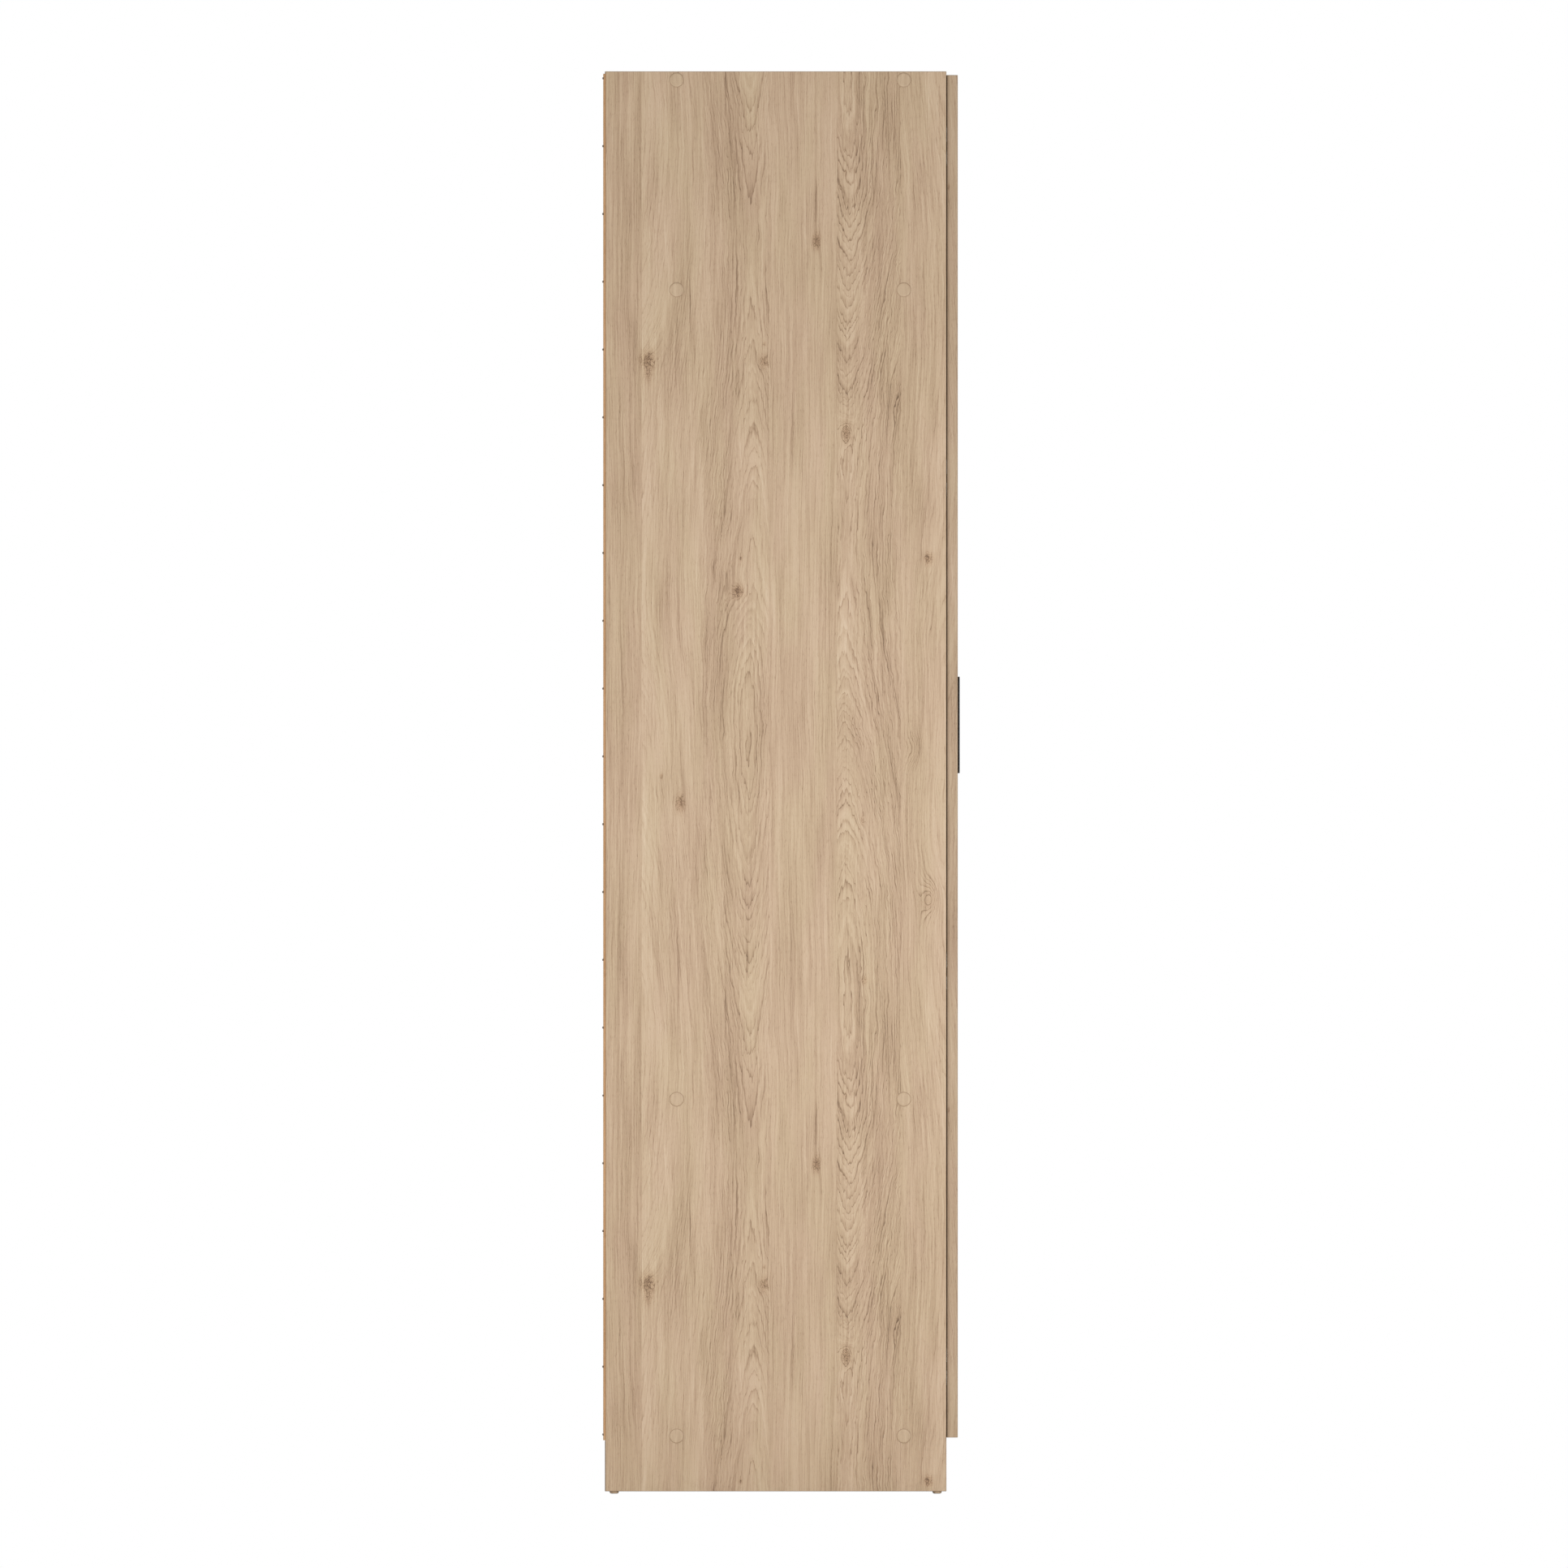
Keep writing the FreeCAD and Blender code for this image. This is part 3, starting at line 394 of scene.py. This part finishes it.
    # Patches a little greener or pinker, and warmer knots
    hue = field(place, 30, 6, 21.3, 1.0)
    colour = g.mix(g.smooth(hue, 0.30, 0.70), g.mix(1.0, colour, (0.990, 1.0, 0.975), "MULTIPLY"),
                   g.mix(1.0, colour, (1.008, 0.995, 1.008), "MULTIPLY"))
    colour = g.mix(shade.math("MULTIPLY", 0.55, clamp=True), colour,
                   g.mix(1.0, colour, (1.03, 0.94, 0.84), "MULTIPLY"))
    g.put(leave.inputs["Color"], colour)
    g.put(leave.inputs["Tone"], tone)
    g.put(leave.inputs["Height"], fibre * 0.4 + streaks * 0.5 - pores)
    return tree


WOOD_PRINT = wood_print()
# Painted shade on the rounded edges of the boards
EDGE_PAINTED_SHADE = wood(146, 121, 96)
# Painted shade in the gap behind a door's side edge
GAP_PAINTED_SHADE = wood(112, 86, 62)
SEAM_SHADOW = 0.0045        # how far the painted shade in the gap reaches from a door's rear edge
END_SHIFT = 0.11            # how far a board's end band is shifted across the print
DOOR_BAND = (0.84, 0.82, 0.80)  # the doors' side edges are drawn a little darker than the foil


def board_layout(g, place, normal, across, along, across_start=0.0, along_start=0.0,
                 end_across=None, end_along=None):
    """Where a point lies on the print. A board's top and bottom edges have a band of their own."""
    s = g.dot(place, across) + across_start
    t = g.dot(place, along) + along_start
    if end_across is None:
        return s, t
    at_end = g.math("GREATER_THAN", g.dot(normal, (0, 0, 1)).abs(), 0.75)
    s = (g.dot(place, end_across) + (across_start + END_SHIFT) - s) * at_end + s
    t = (g.dot(place, end_along) + along_start - t) * at_end + t
    return s, t


def edge_share(g, normal):
    """1 on rounded edges, where the surface faces between the three axes, and 0 on flat faces."""
    facing = g.node("ShaderNodeVectorMath", operation="ABSOLUTE")
    g.put(facing.inputs[0], normal)
    x, y, z = g.separate(facing.outputs[0])
    return g.smooth(x.math("MAXIMUM", y).math("MAXIMUM", z), 0.998, 0.93)


def foil(g, place, normal, layout, band_shade=None):
    """Colour, height and roughness of the oak-print foil on a board, with painted shade on its rounded
    edges. band_shade darkens its side edges and adds painted shade along a door's rear edge, next to the
    gap.
    """
    s, t = board_layout(g, place, normal, **layout)
    out = g.call(WOOD_PRINT, Across=s, Along=t)
    colour = out["Color"]
    if band_shade:
        on_band = g.smooth(g.separate(normal)[0].abs(), 0.7, 0.9)
        colour = g.mix(on_band, colour, g.mix(1.0, colour, band_shade, "MULTIPLY"))
        # Painted shade along the door's rear edge, where the gap to the side panel is
        gap_shade = g.smooth(g.dot(place, (0, 1, 0)), DOOR_REAR - SEAM_SHADOW, DOOR_REAR) * on_band
        colour = g.mix(gap_shade * 0.6, colour, GAP_PAINTED_SHADE)
    # Painted shade on the rounded edges, mottled by noise
    painted_edge_shade = edge_share(g, normal) * g.noise(place, 60.0, 2.0).times_plus(0.4, 0.68)
    colour = g.mix(painted_edge_shade, colour, EDGE_PAINTED_SHADE)
    return colour, Value(g, out["Height"]), Value(g, out["Tone"]).times_plus(-0.10, 0.60)


def board_material(name, band_shade=None, **layout):
    """Chipboard covered with the oak-print foil on all its faces."""
    material, g, shader, place, normal = new_material(name)
    colour, height, roughness = foil(g, place, normal, layout, band_shade)
    finish_shader(g, shader, base_color=colour, roughness=roughness, specular_ior_level=0.35,
                  normal=g.bump(height, 0.00012, 0.8))
    return material


def back_material(name, **layout):
    """Hardboard: foil on the side that faces into the cabinet, raw pressed fibre elsewhere."""
    material, g, shader, place, normal = new_material(name)
    colour, height, roughness = foil(g, place, normal, layout)
    clumps = g.noise(place, 90.0, 4.0, 0.65)
    fibre = g.noise(g.scaled(place, (1, 1, 2.4)), 900.0, 3.0, 0.7)
    mottle = g.noise(place, 7.0, 3.0, 0.6)
    tone = (clumps - 0.5) * 0.5 + (fibre - 0.5) * 0.7 + (mottle - 0.5) * 0.6 + 0.5
    raw = g.ramp(tone, [(0.0, wood(140, 100, 66)), (0.35, wood(188, 144, 102)),
                        (0.6, wood(206, 163, 121)), (1.0, wood(224, 187, 147))])
    inside = g.smooth(g.separate(normal)[1], -0.7, -0.9)
    colour = g.mix(inside, raw, colour)
    height = (height - fibre) * inside + fibre
    finish_shader(g, shader, base_color=colour, roughness=(roughness - 0.85) * inside + 0.85,
                  specular_ior_level=0.3, normal=g.bump(height, 0.00025, 0.7))
    return material


# ---------------------------------------------------------------- other materials

def cap_material(name):
    """Wood-coloured moulded plastic with faint upright grain and painted shade on its bevelled rim."""
    material, g, shader, place, normal = new_material(name)
    flow = g.noise(g.scaled(place, (1, 330, 30)), 1.0, 3.0, 0.6)
    speck = g.noise(place, 900.0, 3.0, 0.6)
    tone = (flow - 0.5) * 1.1 + (speck - 0.5) * 0.35 + 0.5
    colour = g.ramp(tone, [(0.0, wood(172, 146, 117)), (0.5, wood(199, 174, 145)),
                           (1.0, wood(217, 194, 166))])
    # Painted shade on the bevelled rim, where the cap meets the panel
    rim = g.smooth(g.separate(normal)[0].abs(), 0.985, 0.80)
    colour = g.mix(rim * 0.75, colour, wood(154, 126, 98))
    finish_shader(g, shader, base_color=colour, roughness=speck.times_plus(0.2, 0.42),
                  specular_ior_level=0.4, normal=g.bump(speck, 0.00008, 0.6))
    return material


def metal_material(name, light, dark, roughness, marks_per_metre, grain=0.15):
    """Plated sheet steel with rolling marks, dulled patches and softened corners."""
    material, g, shader, place, _ = new_material(name)
    marks = g.noise(g.scaled(place, marks_per_metre), 1.0, 3.0, 0.7)
    patches = g.noise(place, 45.0, 3.0, 0.6)
    specks = g.noise(place, 2500.0, 2.0, 0.6)
    tone = (marks - 0.5) * 0.7 + (patches - 0.5) * 0.9 + 0.5
    colour = g.mix(g.smooth(tone, 0.1, 0.9), dark, light)
    rough = (marks - 0.5) * grain + (patches - 0.5) * 0.25 + roughness
    finish_shader(g, shader, base_color=colour, metallic=1.0, roughness=rough.math("MAXIMUM", 0.08),
                  normal=g.bump(marks * 0.6 + specks * 0.4, 0.00006, 0.5, g.soft_edges(0.00035)))
    return material


def plastic_material(name, light, dark, roughness, **extra):
    """Moulded plastic with a fine spark-eroded texture and faint flow marks."""
    material, g, shader, place, _ = new_material(name)
    grain = g.noise(place, 1800.0, 3.0, 0.6)
    flow = g.noise(g.scaled(place, (1, 1, 0.3)), 60.0, 3.0, 0.6)
    scuffs = g.smooth(g.noise(g.scaled(place, (3, 3, 0.6)), 220.0, 3.0, 0.7), 0.60, 0.78)
    colour = g.mix(g.smooth((flow - 0.5) + (grain - 0.5) * 0.5 + 0.5, 0.2, 0.8), dark, light)
    colour = g.mix(scuffs * 0.25, colour, tuple(min(1.0, c * 1.5 + 0.02) for c in light))
    finish_shader(g, shader, base_color=colour, roughness=grain.times_plus(0.18, roughness) + scuffs * 0.1,
                  normal=g.bump(grain, 0.00006, 0.6, g.soft_edges(0.0003)), **extra)
    return material


def powder_coat_material(name):
    """Matt black powder coat: a fine orange-peel surface, a little rubbed at the rim."""
    material, g, shader, place, normal = new_material(name)
    peel = g.noise(place, 1400.0, 2.0, 0.5)
    fine = g.noise(place, 5200.0, 2.0, 0.6)
    rub = edge_share(g, normal) * g.smooth(g.noise(place, 140.0, 3.0, 0.7), 0.42, 0.75)
    hands = g.smooth(g.noise(place, 38.0, 3.0, 0.6), 0.35, 0.75)
    colour = g.mix(hands * 0.5 + fine * 0.2, srgb(11, 10, 8), srgb(22, 20, 18))
    colour = g.mix(rub * 0.6, colour, srgb(58, 55, 51))
    finish_shader(g, shader, base_color=colour, roughness=peel * 0.22 + hands * -0.10 + 0.46,
                  specular_ior_level=0.12, normal=g.bump(peel * 0.7 + fine * 0.3, 0.00010, 0.7))
    return material


def tape_material(name):
    """Paper tape over the joint of the back: cream paper, slightly wrinkled."""
    material, g, shader, place, _ = new_material(name)
    fibres = g.noise(g.scaled(place, (1, 1, 0.35)), 1300.0, 4.0, 0.7)
    stains = g.noise(place, 26.0, 3.0, 0.6)
    wrinkles = g.noise(g.scaled(place, (1.0, 1.0, 0.25)), 75.0, 3.0, 0.55)
    colour = g.ramp((stains - 0.5) * 0.6 + (fibres - 0.5) * 0.8 + 0.5,
                    [(0.0, srgb(168, 150, 124)), (0.5, srgb(198, 182, 156)), (1.0, srgb(218, 205, 183))])
    finish_shader(g, shader, base_color=colour, roughness=fibres.times_plus(0.2, 0.68),
                  specular_ior_level=0.25, normal=g.bump(wrinkles * 0.7 + fibres * 0.3, 0.0006, 0.5))
    return material


def beech_material(name):
    """Raw beech dowels: fine straight grain along X with short darker flecks."""
    material, g, shader, place, _ = new_material(name)
    grain = g.noise(g.scaled(place, (25, 900, 900)), 1.0, 3.0, 0.6)
    flecks = g.smooth(g.noise(g.scaled(place, (160, 1500, 1500)), 1.0, 1.0), 0.62, 0.76)
    colour = g.ramp(grain - flecks * 0.35, [(0.1, srgb(160, 120, 80)), (0.5, srgb(205, 168, 124)),
                                            (0.9, srgb(224, 192, 150))])
    finish_shader(g, shader, base_color=colour, roughness=grain.times_plus(0.15, 0.6),
                  normal=g.bump(grain - flecks, 0.00012, 0.7))
    return material


# ---------------------------------------------------------------- materials on the CAD nodes

# How the banding on an upright board's top and bottom edges runs: along X on doors, along Y on sides
BAND_ALONG_X = dict(end_across=(0, 1, 0), end_along=(1, 0, 0))
BAND_ALONG_Y = dict(end_across=(1, 0, 0), end_along=(0, 1, 0))

# How far each next level board is shifted on the print, so that no two look alike
SHIFT_ACROSS = 0.006
SHIFT_ALONG = 0.37


def upright(direction, across_start, along_start, **band):
    """Vertical grain, counted down from the cabinet's top."""
    return dict(across=direction, along=(0, 0, -1), across_start=across_start,
                along_start=TOP + along_start, **band)


def level(across_start, along_start):
    """Grain that runs from side to side, counted from the front edge."""
    return dict(across=(0, 1, 1), along=(1, 0, 0), across_start=across_start - FRONT,
                along_start=HALF_WIDTH + along_start)


# Where each upright board lies on the print. The left side panel, which the photograph shows, starts it.
BOARDS = {
    "left_side_panel": upright((1, -1, 0), REAR + HALF_WIDTH, 0.0, **BAND_ALONG_Y),
    "right_side_panel": upright((-1, -1, 0), REAR + HALF_WIDTH, 0.62, **BAND_ALONG_Y),
    "left_door": upright((1, -1, 0), HALF_WIDTH + FRONT + 0.075, 0.83, band_shade=DOOR_BAND,
                         **BAND_ALONG_X),
    "right_door": upright((1, -1, 0), FRONT + 0.030, 0.31, band_shade=DOOR_BAND, **BAND_ALONG_X),
    "plinth_board": dict(across=(0, 1, 1), along=(1, 0, 0), across_start=0.42, along_start=0.90),
}
LEVEL_BOARDS = ("top_panel", "upper_fixed_shelf", "adjustable_shelf_upper", "adjustable_shelf_middle",
                "lower_fixed_shelf", "adjustable_shelf_lower", "bottom_panel")
for step, node in enumerate(LEVEL_BOARDS):
    BOARDS[node] = level(SHIFT_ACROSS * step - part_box(node)[0].z, SHIFT_ALONG * step)


def dress(node, material):
    mesh = NODES[node].data
    mesh.materials.clear()
    mesh.materials.append(material)


for node, layout in BOARDS.items():
    dress(node, board_material("oak " + node, **layout))
dress("left_back_panel", back_material("hardboard left", **upright((1, 0, 0), HALF_WIDTH + 0.05, 1.05)))
dress("right_back_panel", back_material("hardboard right", **upright((1, 0, 0), 0.09, 0.45)))

CAP = cap_material("cover cap plastic")
NICKEL = metal_material("satin nickel", srgb(206, 203, 198), srgb(160, 157, 151), 0.30, (70, 70, 1400))
ZINC = metal_material("zinc plating", srgb(208, 208, 204), srgb(150, 149, 143), 0.36, (600, 600, 600), 0.25)
DARK_STEEL = metal_material("dark nail steel", srgb(128, 112, 97), srgb(74, 62, 52), 0.48,
                            (900, 900, 900), 0.3)
BROWN = plastic_material("brown glide plastic", wood(222, 196, 166), wood(186, 160, 132), 0.45)
WHITE = plastic_material("off-white plastic", srgb(228, 226, 220), srgb(205, 202, 194), 0.42)
CLEAR = plastic_material("clear bumper plastic", srgb(236, 236, 232), srgb(214, 214, 208), 0.22,
                         transmission_weight=0.75)
BLACK = powder_coat_material("black powder coat")

MATERIALS = {
    "back_joint_tape": tape_material("paper tape"), "back_nails": DARK_STEEL, "nail_glides": BROWN,
    "left_cover_caps": CAP, "right_cover_caps": CAP, "left_confirmat_screws": ZINC,
    "right_confirmat_screws": ZINC, "wooden_dowels": beech_material("raw beech"), "shelf_pins": NICKEL,
    "plinth_blocks": WHITE, "plinth_screws": ZINC, "wall_brackets": ZINC, "wall_bracket_screws": ZINC,
    "door_bumpers": CLEAR,
}
HINGE_NICKEL = ("mounting_plates", "arms", "front_links", "rear_links", "cups")
HINGE_ZINC = ("plate_screws", "arm_screws", "arm_pins", "cup_pins", "cup_screws")
for side in ("left", "right"):
    MATERIALS[side + "_pull"] = BLACK
    MATERIALS[side + "_pull_screws"] = ZINC
    for part in HINGE_NICKEL:
        MATERIALS[f"{side}_hinge_{part}"] = NICKEL
    for part in HINGE_ZINC:
        MATERIALS[f"{side}_hinge_{part}"] = ZINC
for node, material in MATERIALS.items():
    dress(node, material)


# ---------------------------------------------------------------- studio

FLOOR_RADIUS = 16.0
FLOOR_SIDES = 96
FRAME_WIDTH = 2.2085
FRAME_MIDDLE = Vector((-HALF_WIDTH, -0.0035, 0.9995))
TURN_FROM_SQUARE = math.radians(0.078)
CAMERA_DISTANCE = 6.0
CAMERA_REACH = 50.0

# The lights: name, place, what it aims at, power. There are two side keys, so that neither shines
# straight through the gap at the door onto the hinges.
LIGHT_SIZE = 0.9
LIGHTS = (
    ("side key front", (-2.62, -0.94, 0.92), (-HALF_WIDTH, 0.0, 0.87), 23.5),
    ("side key rear", (-2.62, 0.39, 0.92), (-HALF_WIDTH, 0.0, 0.87), 9.8),
    ("front key", (0.45, -2.6, 1.25), (0.0, FRONT, 0.95), 26.0),
    ("right fill", (2.70, 0.45, 1.15), (HALF_WIDTH, 0.0, 0.95), 26.0),
    ("rear fill", (-0.50, 2.80, 1.15), (0.0, REAR, 0.95), 22.0),
)


def floor():
    """A plain pale floor, so wide that its rim stays far behind the cabinet."""
    material, g, shader, place, _ = new_material("studio floor")
    mottle = g.noise(place, 1.7, 3.0, 0.5)
    grain = g.noise(place, 240.0, 3.0, 0.6)
    colour = g.mix(mottle * 0.6 + grain * 0.4, (0.80, 0.80, 0.79), (0.88, 0.88, 0.875))
    finish_shader(g, shader, base_color=colour, roughness=grain.times_plus(0.2, 0.6), specular_ior_level=0.2,
                  normal=g.bump(grain, 0.0002, 0.3))
    mesh = bpy.data.meshes.new("floor")
    shape = bmesh.new()
    bmesh.ops.create_circle(shape, cap_ends=True, segments=FLOOR_SIDES, radius=FLOOR_RADIUS)
    shape.to_mesh(mesh)
    shape.free()
    mesh.materials.append(material)
    made = bpy.data.objects.new("floor", mesh)
    bpy.context.scene.collection.objects.link(made)


def place_and_aim(made, position, look):
    """Puts a light or camera into the scene, looking along a direction."""
    made.location = position
    made.rotation_mode = "QUATERNION"
    made.rotation_quaternion = look.to_track_quat("-Z", "Y")
    bpy.context.scene.collection.objects.link(made)


def area_light(name, position, aim, power):
    data = bpy.data.lights.new(name, "AREA")
    data.shape = "SQUARE"
    data.size = LIGHT_SIZE
    data.energy = power
    place_and_aim(bpy.data.objects.new(name, data), position, Vector(aim) - Vector(position))


def world():
    """White all round."""
    made = bpy.data.worlds.new("studio")
    made.use_nodes = True
    background = made.node_tree.nodes["Background"]
    background.inputs["Color"].default_value = (1.0, 1.0, 1.0, 1.0)
    background.inputs["Strength"].default_value = 1.0
    bpy.context.scene.world = made


def camera():
    """A parallel view of the left side, turned a hair so that the gap at the door isn't seen through."""
    data = bpy.data.cameras.new("camera")
    data.type = "ORTHO"
    data.ortho_scale = FRAME_WIDTH
    data.clip_end = CAMERA_REACH
    made = bpy.data.objects.new("camera", data)
    look = Vector((math.cos(TURN_FROM_SQUARE), -math.sin(TURN_FROM_SQUARE), 0.0))
    place_and_aim(made, FRAME_MIDDLE - look * CAMERA_DISTANCE, look)
    bpy.context.scene.camera = made


floor()
world()
for light in LIGHTS:
    area_light(*light)
camera()
bpy.context.scene.view_settings.view_transform = "Standard"
bpy.context.scene.view_settings.look = "None"
